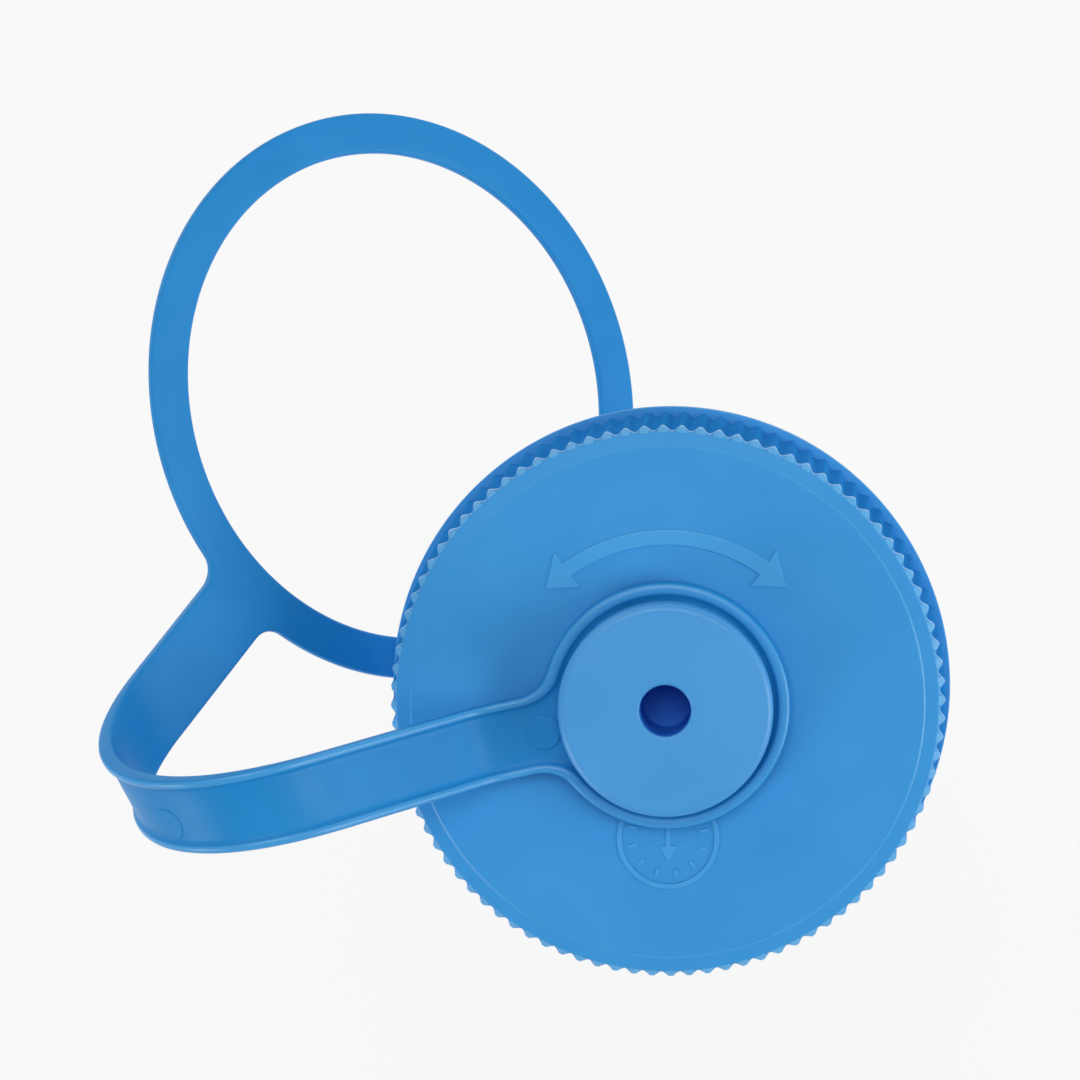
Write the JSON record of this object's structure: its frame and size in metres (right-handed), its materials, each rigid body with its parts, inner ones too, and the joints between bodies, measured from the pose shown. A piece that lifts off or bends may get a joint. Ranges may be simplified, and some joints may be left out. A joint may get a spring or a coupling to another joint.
{
  "type": "loop-top screw cap",
  "caption": "Wide-mouth screw cap with ribbed grip, a button that retains a swivelling strap, and a loop on the strap that goes round the bottle's neck.",
  "frame": {"origin": "centre of the mouth, in the plane of the rim", "axes": "+Z along the cap's axis, out of its flat face; -X from the axis towards the strap"},
  "size_m": [0.1038, 0.1161, 0.0795],
  "materials": {
    "cap_plastic": "satin injection-moulded polypropylene, slightly translucent",
    "tether_plastic": "satin injection-moulded polypropylene, slightly translucent"
  },
  "bodies": {
    "cap": {"cap_shell": "cap_plastic", "retaining_button": "cap_plastic"},
    "eyelet": {"eyelet": "tether_plastic"},
    "strap": {"strap_run": "tether_plastic"},
    "bend_1": {"bend_link_1": "tether_plastic"},
    "bend_2": {"bend_link_2": "tether_plastic"},
    "bend_3": {"bend_link_3": "tether_plastic"},
    "bend_4": {"bend_link_4": "tether_plastic"},
    "bend_5": {"bend_link_5": "tether_plastic"},
    "bend_6": {"bend_link_6": "tether_plastic"},
    "loop": {"neck_loop": "tether_plastic"}
  },
  "joints": [
    {"name": "swivel", "type": "hinge", "parent": "cap", "child": "eyelet", "pos_m": [0, 0, 0.02235], "axis": [0, 0, 1], "continuous": true},
    {"name": "strap_lift", "type": "hinge", "parent": "eyelet", "child": "strap", "pos_m": [-0.0225, 0, 0.024], "axis": [-0.061, 0.9981, 0], "range_deg": [-41, 34], "stiffness_Nm_per_rad": 0.15},
    {"name": "strap_bend", "type": "hinge", "parent": "strap", "child": "bend_1", "pos_m": [-0.04284, 0.00042, 0.04194], "axis": [0.2351, -0.9594, -0.1558], "range_deg": [-26, 0], "stiffness_Nm_per_rad": 0.2},
    {"name": "strap_bend_2", "type": "hinge", "parent": "bend_1", "child": "bend_2", "pos_m": [-0.04941, 0.00059, 0.0439], "axis": [0.2351, -0.9594, -0.1558], "range_deg": [-26, 0]},
    {"name": "strap_bend_3", "type": "hinge", "parent": "bend_2", "child": "bend_3", "pos_m": [-0.05617, 0.00119, 0.04294], "axis": [0.2351, -0.9594, -0.1558], "range_deg": [-26, 0]},
    {"name": "strap_bend_4", "type": "hinge", "parent": "bend_3", "child": "bend_4", "pos_m": [-0.06185, 0.00248, 0.03933], "axis": [0.2351, -0.9594, -0.1558], "range_deg": [-26, 0]},
    {"name": "strap_bend_5", "type": "hinge", "parent": "bend_4", "child": "bend_5", "pos_m": [-0.06539, 0.0046, 0.03387], "axis": [0.2351, -0.9594, -0.1558], "range_deg": [-26, 0]},
    {"name": "strap_bend_6", "type": "hinge", "parent": "bend_5", "child": "bend_6", "pos_m": [-0.06619, 0.00751, 0.02771], "axis": [0.2351, -0.9594, -0.1558], "range_deg": [-26, 0]},
    {"name": "strap_bend_7", "type": "hinge", "parent": "bend_6", "child": "loop", "pos_m": [-0.06416, 0.011, 0.02218], "axis": [0.2351, -0.9594, -0.1558], "range_deg": [-26, 0]}
  ],
  "couplings": [
    {"joint": "strap_bend_2", "follows": "strap_bend", "ratio": 1},
    {"joint": "strap_bend_3", "follows": "strap_bend", "ratio": 1},
    {"joint": "strap_bend_4", "follows": "strap_bend", "ratio": 1},
    {"joint": "strap_bend_5", "follows": "strap_bend", "ratio": 1},
    {"joint": "strap_bend_6", "follows": "strap_bend", "ratio": 1},
    {"joint": "strap_bend_7", "follows": "strap_bend", "ratio": 1}
  ]
}
